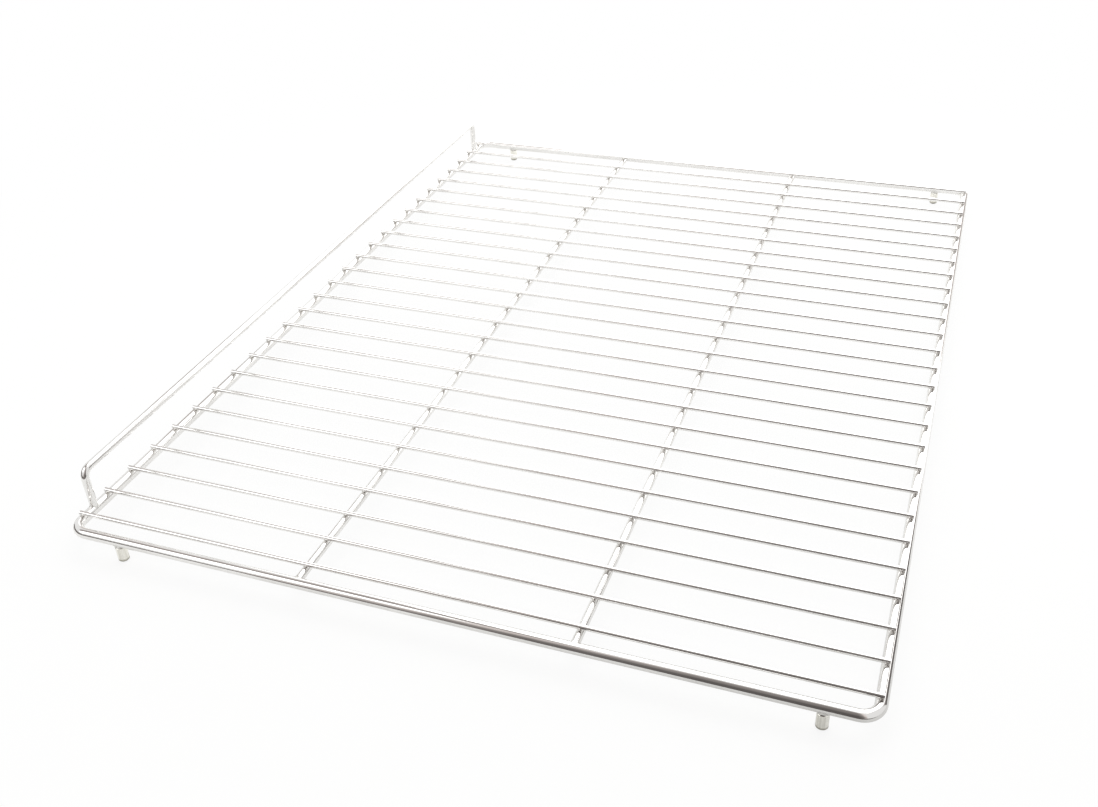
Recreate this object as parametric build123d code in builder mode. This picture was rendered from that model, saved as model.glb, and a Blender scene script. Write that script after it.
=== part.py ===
"""Welded wire refrigerator shelf with a rear guard and four short legs.

Millimetres. X runs along the cross wires, from the guard at the rear (-X) to the loading side (+X).
Y runs along the long sides, Z is up. The origin is on the floor under the middle of the frame.
"""
import os
from build123d import *

# Frame: one rod bent to a rounded rectangle
FRAME_DEPTH = 462.0  # outside, along X
FRAME_LENGTH = 626.0  # outside, along Y
FRAME_ROD = 6.35  # diameter
FRAME_INNER_BEND = 6.35  # inside radius of a corner

# Cross wires, laid on the frame and the stringers
WIRE_COUNT = 27
WIRE_ROD = 2.7  # diameter
WIRE_END_GAP = 10.8  # from a short side's middle line to the first wire
WIRE_OVERRUN = 1.0  # a wire's end past the middle line of a long side

# Stringers, butted between the short sides with their tops level with the frame's
STRINGER_ROD = 4.76  # diameter
STRINGER_SPACING = 158.0  # between middle lines

# Rear guard: one rod bent to a U, standing on the rear long side
GUARD_ROD = 4.76  # diameter
GUARD_RISE = 24.4  # from the frame's top to the guard rail's middle line
GUARD_INNER_BEND = 3.2  # inside radius of its two bends
GUARD_POST_INSET = 21.0  # from a short side's middle line to a post's

# Legs under the short sides
LEG_ROD = 6.35  # diameter
LEG_DROP = 10.0  # floor to the frame's underside
LEG_REAR_INSET = 33.0  # from the rear long side's middle line
LEG_FRONT_INSET = 25.0  # from the front long side's middle line
LEG_END_BREAK = 0.8  # broken edge at both cut ends

# How far butt welding lets a cut end into the flank of the rod that carries it
BUTT_SET_DOWN = 0.6

# Places that follow from the sizes above
rail_x = (FRAME_DEPTH - FRAME_ROD) / 2  # middle lines of the long sides at -rail_x and +rail_x
rail_y = (FRAME_LENGTH - FRAME_ROD) / 2  # middle lines of the short sides at -rail_y and +rail_y
rail_z = LEG_DROP + FRAME_ROD / 2
frame_top = LEG_DROP + FRAME_ROD
frame_bend = FRAME_INNER_BEND + FRAME_ROD / 2
guard_bend = GUARD_INNER_BEND + GUARD_ROD / 2
guard_z = frame_top + GUARD_RISE
post_y = rail_y - GUARD_POST_INSET
wire_z = frame_top + WIRE_ROD / 2
wire_half = rail_x + WIRE_OVERRUN
wire_reach = rail_y - WIRE_END_GAP
wire_pitch = 2 * wire_reach / (WIRE_COUNT - 1)
stringer_z = frame_top - STRINGER_ROD / 2
stringer_half = rail_y - FRAME_ROD / 2 + BUTT_SET_DOWN
leg_top = LEG_DROP + BUTT_SET_DOWN

os.makedirs("parts", exist_ok=True)


def save(piece, name):
    """Label one piece and write its STEP file."""
    piece.part.label = name
    export_step(piece.part, f"parts/{name}.step")


# Frame: a round section carried once round the loop
with BuildPart() as frame:
    with BuildLine(Plane.XY.offset(rail_z)) as loop:
        FilletPolyline(
            (rail_x, -rail_y),
            (rail_x, rail_y),
            (-rail_x, rail_y),
            (-rail_x, -rail_y),
            close=True,
            radius=frame_bend,
        )
    with BuildSketch(Plane(origin=loop.line @ 0, z_dir=loop.line % 0)):
        Circle(FRAME_ROD / 2)
    sweep(path=loop.line)
save(frame, "frame")

# Stringers: square-cut ends let into the inner flanks of the short sides
for name, x in (("stringer_rear", -STRINGER_SPACING / 2), ("stringer_front", STRINGER_SPACING / 2)):
    with BuildPart() as stringer:
        with BuildSketch(Plane(origin=(x, 0, stringer_z), z_dir=(0, 1, 0))):
            Circle(STRINGER_ROD / 2)
        extrude(amount=stringer_half, both=True)
        add(frame.part, mode=Mode.SUBTRACT)
    save(stringer, name)

# Cross wires: square-cut, each lying on the tops of the long sides and the stringers
for index in range(WIRE_COUNT):
    with BuildPart() as wire:
        with BuildSketch(Plane(origin=(0, index * wire_pitch - wire_reach, wire_z), z_dir=(1, 0, 0))):
            Circle(WIRE_ROD / 2)
        extrude(amount=wire_half, both=True)
    save(wire, f"cross_wire_{index + 1:02d}")

# Rear guard: posts and rail are one bent rod, its cut feet let into the top of the rear long side
with BuildPart() as guard:
    with BuildLine() as bent_rod:
        FilletPolyline(
            (-rail_x, -post_y, frame_top - BUTT_SET_DOWN),
            (-rail_x, -post_y, guard_z),
            (-rail_x, post_y, guard_z),
            (-rail_x, post_y, frame_top - BUTT_SET_DOWN),
            radius=guard_bend,
        )
    with BuildSketch(Plane(origin=bent_rod.line @ 0, z_dir=bent_rod.line % 0)):
        Circle(GUARD_ROD / 2)
    sweep(path=bent_rod.line)
    add(frame.part, mode=Mode.SUBTRACT)
save(guard, "rear_guard")

# Legs: cut rods, their flat tops let into the underside of the short sides
for depth_name, x in (("rear", LEG_REAR_INSET - rail_x), ("front", rail_x - LEG_FRONT_INSET)):
    for side_name, y in (("left", -rail_y), ("right", rail_y)):
        with BuildPart() as leg:
            with BuildSketch(Plane(origin=(x, y, 0))):
                Circle(LEG_ROD / 2)
            extrude(amount=leg_top)
            chamfer(leg.edges().filter_by(GeomType.CIRCLE), LEG_END_BREAK)
            add(frame.part, mode=Mode.SUBTRACT)
        save(leg, f"leg_{depth_name}_{side_name}")
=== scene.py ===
import random
from math import cos, pi, radians, sin, sqrt

import bpy
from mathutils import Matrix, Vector


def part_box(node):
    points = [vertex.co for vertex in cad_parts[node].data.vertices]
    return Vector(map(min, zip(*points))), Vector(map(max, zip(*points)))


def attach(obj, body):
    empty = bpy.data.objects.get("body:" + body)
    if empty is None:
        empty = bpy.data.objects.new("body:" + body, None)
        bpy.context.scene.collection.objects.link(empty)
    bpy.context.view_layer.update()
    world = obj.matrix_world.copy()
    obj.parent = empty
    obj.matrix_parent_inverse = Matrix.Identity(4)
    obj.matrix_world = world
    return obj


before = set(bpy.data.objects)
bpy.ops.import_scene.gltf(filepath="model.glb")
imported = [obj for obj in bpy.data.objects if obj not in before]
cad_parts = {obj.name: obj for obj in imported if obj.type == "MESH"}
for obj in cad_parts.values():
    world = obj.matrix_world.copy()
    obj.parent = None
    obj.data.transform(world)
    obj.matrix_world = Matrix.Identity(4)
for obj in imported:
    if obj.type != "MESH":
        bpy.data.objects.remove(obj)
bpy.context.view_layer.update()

# Everything is in metres, in the frame of the CAD model
MM = 0.001
X_AXIS = Vector((1, 0, 0))
Y_AXIS = Vector((0, 1, 0))
Z_AXIS = Vector((0, 0, 1))
WHITE = (1.0, 1.0, 1.0, 1.0)

# Camera, set so that the shelf falls on the photograph's 1098 x 807 frame
CAMERA_PLACE = (0.2245, -0.7023, 0.4400)
CAMERA_TURN_DEG = (56.25, 2.144, 19.84)
CAMERA_LENS_MM = 38.402
CAMERA_NEAR = 0.01
CAMERA_FAR = 60.0
SENSOR_WIDTH_MM = 36.0

# Noise in the materials, whose scales are per metre
CLOUD_DETAIL = 3.0
FINE_DETAIL = 4.0
LINE_DETAIL = 2.0
NOISE_RANGE = (0.3, 0.7)  # where most of its values lie
LINE_STRETCH = 0.03  # its scale along a drawn line, as a share of the scale across the line

# Plating of the drawn rods: colours and roughness from least to most, relief as a bump's strength and depth
ROD_CLOUD_SCALE = 45.0
ROD_COLOURS = ((0.78, 0.769, 0.752), (0.87, 0.861, 0.846))
ROD_HAZE_SCALE = 160.0
ROD_ROUGHNESS = (0.05, 0.13)
DIE_LINE_SCALE = 900.0
DIE_LINE_RELIEF = (0.12, 0.04 * MM)

# Plating of the legs, in the same terms
STREAK_SCALE = 620.0
STREAK_RANGE = (0.36, 0.62)
STREAK_COLOURS = ((0.75, 0.735, 0.67), (0.945, 0.93, 0.87))
LEG_ROUGHNESS = (0.12, 0.26)
LEG_RELIEF = (0.5, 0.04 * MM)
# Painted shade round the feet: the plating darkens towards the floor, in place of the contact shadow it
# mirrors
FOOT_SHADE_HEIGHT = 2.4 * MM  # how high the painted shade round the feet reaches
FOOT_SHADE_STOPS = (  # share of that height, and colour that the plating is multiplied by as painted shade
    (0.33, (0.36, 0.35, 0.32)),
    (0.60, (0.60, 0.59, 0.56)),
    (1.0, (1.0, 1.0, 1.0)),
)

# Plating over the welds, in the same terms
WELD_CLOUD_SCALE = 700.0
WELD_COLOURS = ((0.62, 0.61, 0.585), (0.80, 0.79, 0.76))
WELD_ROUGHNESS = (0.16, 0.34)
WELD_GRAIN_SCALE = 2600.0
WELD_RELIEF = (0.35, 0.08 * MM)

# Weld flash, where a cross wire is pressed into the rod below it
WELD_SINK = 0.05 * MM  # how far a weld's edges lie under the rods' skins
FLASH_ALONG_WIRE = 0.42 * MM  # how far the rod has fallen away at the flash's end along the wire
FLASH_BESIDE_WIRE = 0.16 * MM  # how far the wire's skin has risen at the flash's edge beside it
FLASH_INWARD = 0.45 * MM  # how far the flash on a long side lies inwards of the rod's crown
FLASH_PROFILE = (  # share of the reach, and share of the height from the rod up to the wire
    (1.08, 0.0),
    (1.00, 0.22),
    (0.95, 0.5),
    (0.97, 0.78),
    (1.04, 1.0),
)
FLASH_LEAN = 0.09  # share by which a flash is wider on one side
FLASH_LUMPS = 0.05  # share by which its three lumps stand out
FLASH_STEPS = 22
FLASH_SEED = 27

# Weld collars, where a cut rod end is butted on the flank of the frame
BUTT_SET_DOWN = 0.6 * MM  # how far the cut end is let into the frame
COLLAR_CLIMB = 0.5 * MM  # up the butted rod, from its end
COLLAR_SPREAD = 0.5 * MM  # out over the frame
COLLAR_PROFILE = (  # share of the spread, and share of the climb
    (0.0, 1.0),
    (0.16, 0.45),
    (0.45, 0.16),
    (1.0, 0.0),
)
COLLAR_OVAL = 0.12  # share by which a collar is wider on two sides
COLLAR_OVAL_TURN = 1.0  # radians
COLLAR_LUMPS = 0.08  # share by which its five lumps stand out
COLLAR_FURTHEST = 0.97  # how far sideways it goes on the frame's rod, as a share of the radius
COLLAR_STEPS = 36

# White floor, a paper that is partly covered by a glow
FLOOR_HALF_SIZE = 8.0
PAPER_SCALE = 30.0
PAPER_COLOURS = ((0.95, 0.95, 0.93), (0.97, 0.97, 0.955))
PAPER_ROUGHNESS = 0.9
GLOW_SEEN = 0.86  # the glow's share in the floor that the camera sees, near the shelf
GLOW_SEEN_MIDDLE = (0.06, -0.16, 0.0)
GLOW_SEEN_START = 0.28  # distance from that middle at which the share starts to rise
GLOW_SEEN_END = 0.75  # distance at which it is the whole
GLOW_MIRRORED = 0.5  # the glow's share in the floor that the plating mirrors
GLOW_LEAST = 0.5  # strength of the mirrored glow where it is dimmest, and 1 is white
GLOW_TOWARDS = (-0.55, 0.83, 0.0)  # the way in which it brightens
GLOW_START = -0.44  # how far that way from the origin it starts to brighten
GLOW_END = -0.18  # how far that way it is white

# White walls, and the cards that only the plating mirrors
WALLS_FILL = 0.56  # strength of the walls as light on the floor
WALLS_MIRRORED = 0.92  # strength of the walls as the plating mirrors them
CARD_TINT = (0.80, 0.732, 0.708, 1.0)  # colour of a card at full strength, a warm light grey
CARD_LIFT = 1.0 * MM  # how high a card lies over the floor
FRONT_WALL_Y = -0.62
BACK_WALL_Y = 1.15
LEFT_WALL_X = -0.60
RIGHT_WALL_X = 0.60


# Nodes of the CAD model


def node_names(start):
    """CAD nodes whose names start so, in order."""
    return sorted(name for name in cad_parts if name.startswith(start))


def node_middle(name):
    """Middle of a CAD node's box."""
    low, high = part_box(name)
    return (low + high) / 2


def half_width(name, axis):
    """Half the width of a CAD node's box along one axis."""
    low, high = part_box(name)
    return (high[axis] - low[axis]) / 2


wire_names = node_names("cross_wire")
stringer_names = node_names("stringer")
leg_names = node_names("leg")
frame_low, frame_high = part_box("frame")
guard_low, guard_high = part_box("rear_guard")
frame_radius = half_width("frame", 2)
wire_radius = half_width(wire_names[0], 2)
stringer_radius = half_width(stringer_names[0], 0)
guard_radius = half_width("rear_guard", 0)
leg_radius = half_width(leg_names[0], 0)
frame_top = frame_high.z
rail_x = frame_high.x - frame_radius
rail_y = frame_high.y - frame_radius
rail_z = (frame_high.z + frame_low.z) / 2


# Steps that materials are made of


def new_material(name):
    """A node material as Blender makes it, and its node tree."""
    material = bpy.data.materials.new(name)
    material.use_nodes = True
    return material, material.node_tree


def feed(tree, value, socket):
    """Feed a socket from another socket or with a plain value."""
    if isinstance(value, bpy.types.NodeSocket):
        tree.links.new(value, socket)
    else:
        socket.default_value = value


def combine(tree, operation, *values, clamp=False):
    """Numbers put through one step of arithmetic."""
    node = tree.nodes.new("ShaderNodeMath")
    node.operation = operation
    node.use_clamp = clamp
    for value, socket in zip(values, node.inputs):
        feed(tree, value, socket)
    return node.outputs["Value"]


def combine_vectors(tree, operation, first, second):
    """Vectors or colours put through one step of arithmetic. The outputs are Vector and Value."""
    node = tree.nodes.new("ShaderNodeVectorMath")
    node.operation = operation
    feed(tree, first, node.inputs[0])
    feed(tree, second, node.inputs[1])
    return node.outputs


def object_place(tree):
    """Place in the object's own coordinates."""
    return tree.nodes.new("ShaderNodeTexCoord").outputs["Object"]


def coordinate(tree, axis):
    """One of the object's own coordinates."""
    node = tree.nodes.new("ShaderNodeSeparateXYZ")
    feed(tree, object_place(tree), node.inputs["Vector"])
    return node.outputs[axis]


def noise(tree, scale, stretch=(1.0, 1.0, 1.0), detail=CLOUD_DETAIL):
    """Noise in the object's own coordinates, stretched along its axes."""
    mapping = tree.nodes.new("ShaderNodeMapping")
    feed(tree, object_place(tree), mapping.inputs["Vector"])
    feed(tree, stretch, mapping.inputs["Scale"])
    texture = tree.nodes.new("ShaderNodeTexNoise")
    feed(tree, mapping.outputs["Vector"], texture.inputs["Vector"])
    feed(tree, scale, texture.inputs["Scale"])
    feed(tree, detail, texture.inputs["Detail"])
    return texture.outputs["Fac"]


def ramp(tree, source, stops):
    """Colours along a value, as (position, colour) stops."""
    node = tree.nodes.new("ShaderNodeValToRGB")
    points = node.color_ramp.elements
    while len(points) < len(stops):
        points.new(0.5)
    for point, (position, colour) in zip(points, stops):
        point.position = position
        point.color = (*colour, 1.0)
    feed(tree, source, node.inputs["Fac"])
    return node.outputs["Color"]


def two_tone(tree, source, colours, limits=NOISE_RANGE):
    """A blend from one colour to another while a value goes from one limit to the other."""
    return ramp(tree, source, list(zip(limits, colours)))


def spread(tree, source, end, start=(0.0, 1.0)):
    """A value carried from a start range to an end range, and held at both ends."""
    node = tree.nodes.new("ShaderNodeMapRange")
    feed(tree, source, node.inputs["Value"])
    feed(tree, start[0], node.inputs["From Min"])
    feed(tree, start[1], node.inputs["From Max"])
    feed(tree, end[0], node.inputs["To Min"])
    feed(tree, end[1], node.inputs["To Max"])
    return node.outputs["Result"]


def relief(tree, height, strength, depth):
    """Fine relief from a value, for a shader's normal."""
    node = tree.nodes.new("ShaderNodeBump")
    feed(tree, height, node.inputs["Height"])
    feed(tree, strength, node.inputs["Strength"])
    feed(tree, depth, node.inputs["Distance"])
    return node.outputs["Normal"]


def glow(tree, colour, strength):
    """A plain glow."""
    node = tree.nodes.new("ShaderNodeEmission")
    feed(tree, colour, node.inputs["Color"])
    feed(tree, strength, node.inputs["Strength"])
    return node.outputs["Emission"]


def show(tree, shader):
    """Make a shader the surface of its material."""
    feed(tree, shader, tree.nodes["Material Output"].inputs["Surface"])


def seen(tree, by_eye, by_metal):
    """One value for camera rays, one for the rays that metal or glass sends on, and 0 for all other light."""
    path = tree.nodes.new("ShaderNodeLightPath")
    mirrored = combine(tree, "MAXIMUM", path.outputs["Is Glossy Ray"], path.outputs["Is Transmission Ray"])
    eye = combine(tree, "MULTIPLY", path.outputs["Is Camera Ray"], by_eye)
    return combine(tree, "MULTIPLY_ADD", mirrored, by_metal, eye)


# Plating


def new_metal(name):
    """A node material of metal, its node tree and the inputs of its shader."""
    material, tree = new_material(name)
    metal = tree.nodes["Principled BSDF"].inputs
    feed(tree, 1.0, metal["Metallic"])
    return material, tree, metal


def rod_plating(name, stretch=(1.0, 1.0, 1.0)):
    """Bright chrome plating on a drawn rod, with fine relief along the axis where the stretch is small."""
    material, tree, metal = new_metal(name)
    clouds = noise(tree, ROD_CLOUD_SCALE)
    haze = noise(tree, ROD_HAZE_SCALE, detail=FINE_DETAIL)
    lines = noise(tree, DIE_LINE_SCALE, stretch=stretch, detail=LINE_DETAIL)
    feed(tree, two_tone(tree, clouds, ROD_COLOURS), metal["Base Color"])
    feed(tree, spread(tree, haze, ROD_ROUGHNESS), metal["Roughness"])
    feed(tree, relief(tree, lines, *DIE_LINE_RELIEF), metal["Normal"])
    return material


def foot_plating():
    """Plating on the legs: hazier, streaked along the drawn rod, and darkened round the foot by painted
    shade.
    """
    material, tree, metal = new_metal("leg_plating")
    lines = noise(tree, STREAK_SCALE, stretch=(1.0, 1.0, LINE_STRETCH), detail=LINE_DETAIL)
    streaks = two_tone(tree, lines, STREAK_COLOURS, limits=STREAK_RANGE)
    # painted shade: the plating darkens over the lowest few millimetres, towards the floor
    rise = spread(tree, coordinate(tree, "Z"), (0.0, 1.0), start=(0.0, FOOT_SHADE_HEIGHT))
    painted_foot_shade = ramp(tree, rise, FOOT_SHADE_STOPS)
    feed(tree, combine_vectors(tree, "MULTIPLY", streaks, painted_foot_shade)["Vector"], metal["Base Color"])
    feed(tree, spread(tree, lines, LEG_ROUGHNESS), metal["Roughness"])
    feed(tree, relief(tree, lines, *LEG_RELIEF), metal["Normal"])
    return material


def weld_plating():
    """Plating over the welds: duller, grainier and darker than on the drawn rods."""
    material, tree, metal = new_metal("weld_plating")
    clouds = noise(tree, WELD_CLOUD_SCALE)
    grain = noise(tree, WELD_GRAIN_SCALE, detail=FINE_DETAIL)
    feed(tree, two_tone(tree, clouds, WELD_COLOURS), metal["Base Color"])
    feed(tree, spread(tree, clouds, WELD_ROUGHNESS), metal["Roughness"])
    feed(tree, relief(tree, grain, *WELD_RELIEF), metal["Normal"])
    return material


bent_finish = rod_plating("bent_rod_plating")
finishes = {
    "frame": bent_finish,
    "rear_guard": bent_finish,
    "cross_wire": rod_plating("cross_wire_plating", (LINE_STRETCH, 1.0, 1.0)),
    "stringer": rod_plating("stringer_plating", (1.0, LINE_STRETCH, 1.0)),
    "leg": foot_plating(),
}
weld_finish = weld_plating()
for name_start, finish in finishes.items():
    for node_name in node_names(name_start):
        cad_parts[node_name].material_slots[0].material = finish


# Meshes


def mesh_object(name, vertices, faces, material):
    """A mesh in the scene, with one material."""
    mesh = bpy.data.meshes.new(name)
    mesh.from_pydata(vertices, [], faces)
    mesh.materials.append(material)
    thing = bpy.data.objects.new(name, mesh)
    bpy.context.scene.collection.objects.link(thing)
    return thing


def weld_piece(name, vertices, faces):
    """A smooth plated weld that rides with the shelf."""
    piece = mesh_object(name, vertices, faces, weld_finish)
    piece.data.validate()
    piece.data.polygons.foreach_set("use_smooth", [True] * len(piece.data.polygons))
    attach(piece, "root")


def stage_mesh(name, vertices, faces, material):
    """A mesh that belongs to the studio and not to the shelf."""
    thing = mesh_object(name, vertices, faces, material)
    return thing


def join_columns(here, there, tall, faces):
    """Faces between two neighbouring columns of points, given by their first points."""
    for k in range(tall - 1):
        faces.append((here + k, there + k, there + k + 1, here + k + 1))


# Weld flash at the crossings

flash_chance = random.Random(FLASH_SEED)


def sagitta(radius, offset):
    """How far a rod's skin falls away from its crown at a sideways offset."""
    return radius - sqrt(radius * radius - offset * offset)


def half_chord(radius, depth):
    """The sideways offset at which a rod's skin has fallen away by a depth."""
    return sqrt(depth * (2 * radius - depth))


def cross_flash(contact, rod_radius, shift, vertices, faces):
    """A ring of flash in the crevice round the point where a wire lies on a rod, shifted along X."""
    start = len(vertices)
    tall = len(FLASH_PROFILE)
    lean_turn = flash_chance.uniform(0, 2 * pi)
    lump_turn = flash_chance.uniform(0, 2 * pi)
    reach_x = half_chord(rod_radius, FLASH_ALONG_WIRE)
    reach_y = half_chord(wire_radius, FLASH_BESIDE_WIRE)
    vertices.append(contact - WELD_SINK * Z_AXIS)
    vertices.append(contact + WELD_SINK * Z_AXIS)
    for step in range(FLASH_STEPS):
        angle = 2 * pi * step / FLASH_STEPS
        uneven = 1 + FLASH_LEAN * cos(angle - lean_turn) + FLASH_LUMPS * cos(3 * angle - lump_turn)
        for share, climb in FLASH_PROFILE:
            x = shift + reach_x * uneven * share * cos(angle)
            y = reach_y * uneven * share * sin(angle)
            low_z = -sagitta(rod_radius, x) - WELD_SINK
            high_z = sagitta(wire_radius, y) + WELD_SINK
            vertices.append(contact + Vector((x, y, low_z + (high_z - low_z) * climb)))
    for step in range(FLASH_STEPS):
        here = start + 2 + tall * step
        there = start + 2 + tall * ((step + 1) % FLASH_STEPS)
        faces.append((start, there, here))
        faces.append((start + 1, here + tall - 1, there + tall - 1))
        join_columns(here, there, tall, faces)


carriers = (
    ("rear_rail", -rail_x, frame_radius, FLASH_INWARD),
    ("stringer_rear", node_middle("stringer_rear").x, stringer_radius, 0.0),
    ("stringer_front", node_middle("stringer_front").x, stringer_radius, 0.0),
    ("front_rail", rail_x, frame_radius, -FLASH_INWARD),
)
for carrier, carrier_x, carrier_radius, carrier_shift in carriers:
    flash_points = []
    flash_faces = []
    for wire_name in wire_names:
        crossing = Vector((carrier_x, node_middle(wire_name).y, frame_top))
        cross_flash(crossing, carrier_radius, carrier_shift, flash_points, flash_faces)
    weld_piece(f"weld_flash_{carrier}", flash_points, flash_faces)


# Weld collars at the butted ends


def butt_collar(foot, away, along, offset, rod_radius, vertices, faces):
    """A fillet round a cut rod end. Foot is on the middle line of the frame's rod, away points up the
    butted rod, along lies on the frame, and offset is how far the butted rod stands off to the side."""
    start = len(vertices)
    tall = len(COLLAR_PROFILE)
    side = away.cross(along)
    end_height = frame_radius - BUTT_SET_DOWN
    furthest = COLLAR_FURTHEST * frame_radius
    for step in range(COLLAR_STEPS):
        angle = 2 * pi * step / COLLAR_STEPS
        uneven = 1 + COLLAR_OVAL * cos(2 * angle + COLLAR_OVAL_TURN) + COLLAR_LUMPS * cos(5 * angle)
        for out, up in COLLAR_PROFILE:
            reach = rod_radius + COLLAR_SPREAD * uneven * out
            if out == 0.0:
                reach -= WELD_SINK
            lateral = max(-furthest, min(furthest, offset + reach * sin(angle)))
            skin = sqrt(frame_radius ** 2 - lateral ** 2)
            top = max(skin, end_height) + COLLAR_CLIMB * uneven
            height = skin + (top - skin) * up
            if up == 0.0:
                height -= WELD_SINK
            vertices.append(foot + along * (reach * cos(angle)) + side * lateral + away * height)
    for step in range(COLLAR_STEPS):
        here = start + tall * step
        there = start + tall * ((step + 1) % COLLAR_STEPS)
        join_columns(here, there, tall, faces)
    faces.append(tuple(start + tall * step for step in range(COLLAR_STEPS)))
    faces.append(tuple(start + tall * step + tall - 1 for step in reversed(range(COLLAR_STEPS))))


def collar_piece(name, rod_radius, ends):
    """One piece with a collar at each cut end, given as (foot, away, along, offset)."""
    vertices = []
    faces = []
    for foot, away, along, offset in ends:
        butt_collar(foot, away, along, offset, rod_radius, vertices, faces)
    weld_piece(name, vertices, faces)


stringer_ends = []
for stringer_name in stringer_names:
    stringer_middle = node_middle(stringer_name)
    for direction in (-1, 1):
        stringer_foot = Vector((stringer_middle.x, direction * rail_y, rail_z))
        inwards = -direction * Y_AXIS
        stringer_offset = (stringer_middle.z - rail_z) * inwards.cross(X_AXIS).z
        stringer_ends.append((stringer_foot, inwards, X_AXIS, stringer_offset))
collar_piece("weld_collars_stringers", stringer_radius, stringer_ends)

guard_ends = []
for post_y in (guard_low.y + guard_radius, guard_high.y - guard_radius):
    guard_ends.append((Vector((-rail_x, post_y, rail_z)), Z_AXIS, Y_AXIS, 0.0))
collar_piece("weld_collars_guard", guard_radius, guard_ends)

leg_ends = []
for leg_name in leg_names:
    leg_middle = node_middle(leg_name)
    leg_ends.append((Vector((leg_middle.x, leg_middle.y, rail_z)), -Z_AXIS, X_AXIS, 0.0))
collar_piece("weld_collars_legs", leg_radius, leg_ends)


# Floor


def floor_material():
    """White paper under a glow that keeps the shelf's shadow faint. To the camera the glow is white, and away
    from the shelf it is all there is. To the plating it is dimmer at the right front."""
    material, tree = new_material("white_floor")
    paper = tree.nodes["Principled BSDF"]
    feed(tree, two_tone(tree, noise(tree, PAPER_SCALE), PAPER_COLOURS), paper.inputs["Base Color"])
    feed(tree, PAPER_ROUGHNESS, paper.inputs["Roughness"])
    place = object_place(tree)
    towards = combine_vectors(tree, "DOT_PRODUCT", place, GLOW_TOWARDS)["Value"]
    loss = spread(tree, towards, (GLOW_LEAST - 1.0, 0.0), start=(GLOW_START, GLOW_END))
    strength = combine(tree, "MULTIPLY_ADD", loss, seen(tree, 0.0, 1.0), 1.0)
    distance = combine_vectors(tree, "DISTANCE", place, GLOW_SEEN_MIDDLE)["Value"]
    gain = spread(tree, distance, (0.0, 1.0 - GLOW_SEEN), start=(GLOW_SEEN_START, GLOW_SEEN_END))
    share = combine(tree, "MULTIPLY_ADD", gain, seen(tree, 1.0, 0.0), seen(tree, GLOW_SEEN, GLOW_MIRRORED))
    mix = tree.nodes.new("ShaderNodeMixShader")
    feed(tree, share, mix.inputs["Fac"])
    feed(tree, paper.outputs["BSDF"], mix.inputs[1])
    feed(tree, glow(tree, WHITE, strength), mix.inputs[2])
    show(tree, mix.outputs["Shader"])
    return material


floor_corners = [
    (-FLOOR_HALF_SIZE, -FLOOR_HALF_SIZE, 0.0),
    (FLOOR_HALF_SIZE, -FLOOR_HALF_SIZE, 0.0),
    (FLOOR_HALF_SIZE, FLOOR_HALF_SIZE, 0.0),
    (-FLOOR_HALF_SIZE, FLOOR_HALF_SIZE, 0.0),
]
stage_mesh("floor", floor_corners, [(0, 1, 2, 3)], floor_material())


# Walls and light panels


def studio_world():
    """White walls: white to the camera, a little less to the plating, and a soft fill as all other light."""
    world = bpy.data.worlds.new("studio")
    world.use_nodes = True
    tree = world.node_tree
    walls = tree.nodes["Background"].inputs
    above_fill = seen(tree, 1.0 - WALLS_FILL, WALLS_MIRRORED - WALLS_FILL)
    feed(tree, WHITE, walls["Color"])
    feed(tree, combine(tree, "ADD", above_fill, WALLS_FILL), walls["Strength"])
    return world


def panel(name, place, aim, width, height, radiance):
    """A soft light panel at a place, facing a point."""
    lamp = bpy.data.lights.new(name, "AREA")
    lamp.shape = "RECTANGLE"
    lamp.size = width
    lamp.size_y = height
    lamp.energy = radiance * pi * width * height
    holder = bpy.data.objects.new(name, lamp)
    holder.location = place
    holder.rotation_euler = (Vector(place) - Vector(aim)).to_track_quat("Z", "Y").to_euler()
    holder.visible_camera = False
    bpy.context.scene.collection.objects.link(holder)


bpy.context.scene.world = studio_world()
panel("rear_panel", (0.15, 1.2, 1.5), aim=(0.15, 0.0, 1.5), width=2.4, height=3.0, radiance=1.2)
panel("overhead_panel", (0.02, 0.5, 1.3), aim=(0.02, 0.5, 0.0), width=1.15, height=1.4, radiance=1.25)
panel("left_panel", (-0.95, -0.90, 1.12), aim=(0.0, 0.0, 0.0), width=0.75, height=0.95, radiance=1.36)


# Cards


def plain(grey):
    """One grey all along."""
    return [(0.0, grey), (1.0, grey)]


def greys_along(tree, axis, stops):
    """Greys along one axis, as (coordinate, grey) stops."""
    first = stops[0][0]
    last = stops[-1][0]
    share = spread(tree, coordinate(tree, axis), (0.0, 1.0), start=(first, last))
    return ramp(tree, share, [((at - first) / (last - first), (grey, grey, grey)) for at, grey in stops])


def card_material(name, by_height, by_x):
    """A glow with the grey for its height times the grey for its X, and never more than full strength."""
    material, tree = new_material(name)
    tree.nodes.remove(tree.nodes["Principled BSDF"])
    height_grey = greys_along(tree, "Z", by_height)
    x_grey = greys_along(tree, "X", by_x)
    show(tree, glow(tree, CARD_TINT, combine(tree, "MULTIPLY", height_grey, x_grey, clamp=True)))
    return material


def card(name, rows, by_height, by_x=plain(1.0)):
    """A card between rows of points, hidden from the camera and from the light on the floor."""
    wide = len(rows[0])
    points = [point for row in rows for point in row]
    faces = []
    for row_start in range(0, len(points) - wide, wide):
        for corner in range(row_start, row_start + wide - 1):
            faces.append((corner, corner + 1, corner + wide + 1, corner + wide))
    thing = stage_mesh(name, points, faces, card_material(name, by_height, by_x))
    thing.visible_camera = False
    thing.visible_diffuse = False
    thing.visible_shadow = False


def on_floor(plan):
    """Row of a card that lies on the floor, as (x, y) points."""
    return [(x, y, CARD_LIFT) for x, y in plan]


def upright(plan):
    """Lower and upper row of an upright card over a plan line, as (x, y, height) points."""
    return [[(x, y, 0.0) for x, y, height in plan], plan]


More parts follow.
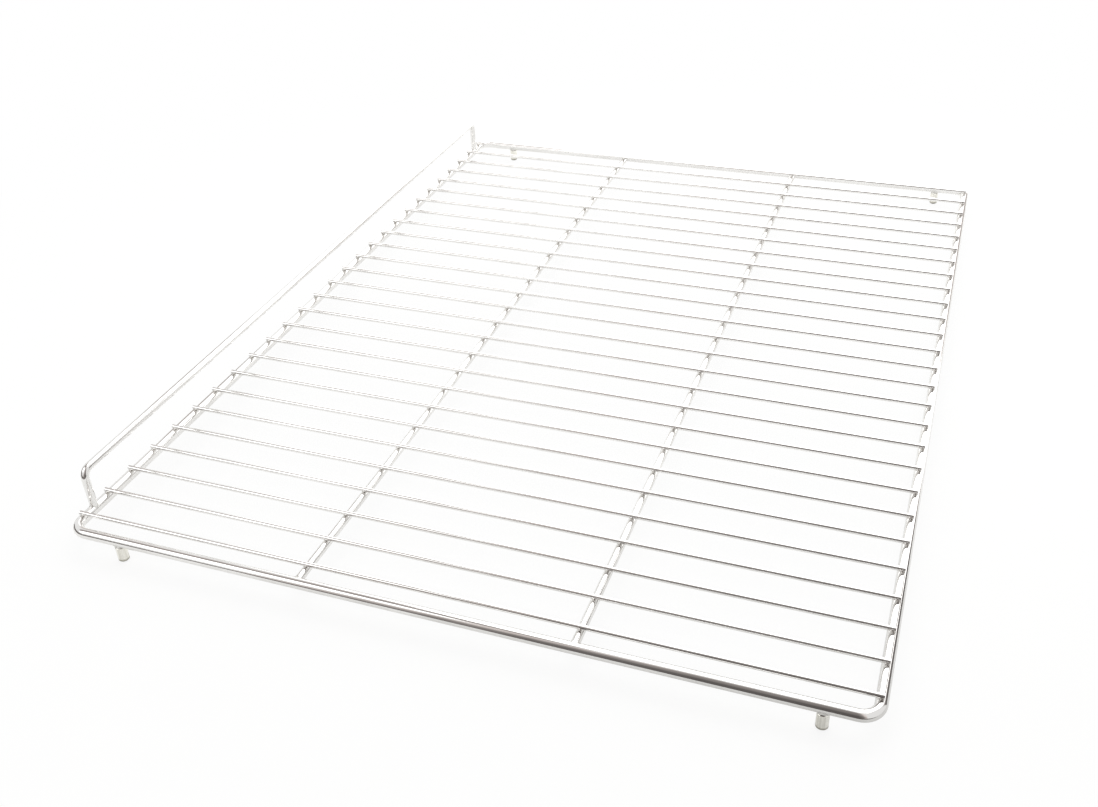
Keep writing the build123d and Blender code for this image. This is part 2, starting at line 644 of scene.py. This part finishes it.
# The dark room in front, from the edge of the white floor to the ceiling
dark_front = [
    on_floor([(-0.15, -0.385), (0.34, -0.337)]),
    [(-0.34, FRONT_WALL_Y, 0.0), (0.44, FRONT_WALL_Y, 0.0)],
    [(-0.17, FRONT_WALL_Y, 0.4), (0.44, FRONT_WALL_Y, 0.4)],
    [(-0.16, FRONT_WALL_Y, 1.5), (0.44, FRONT_WALL_Y, 1.5)],
]
dark_front_heights = [
    (0.0, 0.93),
    (0.13, 0.87),
    (0.20, 1.2),
    (0.26, 1.48),
    (0.35, 1.85),
    (0.60, 1.95),
    (1.5, 2.7),
]
dark_front_sides = [
    (-0.34, 1.0),
    (-0.285, 0.95),
    (-0.22, 0.75),
    (-0.14, 0.47),
    (-0.03, 0.235),
    (0.10, 0.185),
    (0.26, 0.155),
    (0.34, 0.30),
    (0.44, 1.0),
]
card("dark_front", dark_front, dark_front_heights, dark_front_sides)

# Low edges of the room, dark on the left and on the right and grey at the back
dark_left = [
    on_floor([(-0.60, 0.10), (-0.40, -0.36), (-0.30, -0.41), (-0.10, -0.41)]),
    *upright([(-2.0, 0.2, 0.45), (-0.62, -0.52, 0.17), (-0.34, -0.58, 0.06), (-0.10, -0.61, 0.045)]),
]
card("dark_left", dark_left, plain(0.24))
dark_right = upright([
    (RIGHT_WALL_X, -0.04, 0.38),
    (RIGHT_WALL_X, 0.15, 0.34),
    (RIGHT_WALL_X, 0.28, 0.27),
    (0.64, 0.45, 0.19),
])
dark_right_heights = [(0.0, 0.18), (0.18, 0.21), (0.27, 0.40), (0.38, 0.80)]
card("dark_right", dark_right, dark_right_heights, [(RIGHT_WALL_X, 1.0), (0.64, 4.0)])
dark_back = upright([(0.45, BACK_WALL_Y, 0.34), (0.62, BACK_WALL_Y, 0.34), (0.86, 1.10, 0.34)])
dark_back_sides = [(0.45, 1.6), (0.55, 1.0), (0.86, 1.2)]
card("dark_back", dark_back, [(0.0, 0.60), (0.24, 0.66), (0.34, 1.0)], dark_back_sides)

# A grey strip of ceiling on the left of the overhead panel, lighter towards the back
grey_ceiling = [
    [(-1.4, -0.50, 1.08), (-0.18, -0.50, 1.08)],
    [(-1.4, 0.20, 1.29), (-0.58, 0.20, 1.29)],
    [(-1.4, 0.55, 1.40), (-0.60, 0.55, 1.40)],
]
card("grey_ceiling", grey_ceiling, [(1.08, 0.42), (1.24, 0.52), (1.40, 1.0)])

# A grey piece of wall in front, just behind the dark room's edge, that meets the ceiling strip
grey_wall = [
    [(-0.20, -0.63, 0.55), (-0.15, -0.63, 0.55)],
    [(-0.37, -0.63, 1.04), (-0.15, -0.63, 1.04)],
    [(-0.40, -0.50, 1.08), (-0.18, -0.50, 1.08)],
]
card("grey_wall", grey_wall, [(0.55, 0.9), (0.8, 0.85), (1.04, 0.72), (1.08, 0.45)])

# A low grey patch on the left, beyond the guard
dark_side = upright([(LEFT_WALL_X, 0.08, 0.36), (LEFT_WALL_X, 0.27, 0.36)])
card("dark_side", dark_side, [(0.0, 0.60), (0.20, 0.60), (0.36, 1.0)])

# The dark edge of the room on the right of the rear panel
dark_corner = [
    [(0.86, BACK_WALL_Y, 0.85), (1.15, BACK_WALL_Y, 0.85)],
    [(0.82, BACK_WALL_Y, 1.60), (1.15, BACK_WALL_Y, 1.60)],
]
card("dark_corner", dark_corner, plain(0.35))


# Camera

bpy.context.scene.view_settings.view_transform = "Standard"
lens = bpy.data.cameras.new("camera")
lens.sensor_fit = "HORIZONTAL"
lens.sensor_width = SENSOR_WIDTH_MM
lens.lens = CAMERA_LENS_MM
lens.clip_start = CAMERA_NEAR
lens.clip_end = CAMERA_FAR
camera = bpy.data.objects.new("camera", lens)
camera.location = CAMERA_PLACE
camera.rotation_euler = [radians(turn) for turn in CAMERA_TURN_DEG]
bpy.context.scene.collection.objects.link(camera)
bpy.context.scene.camera = camera
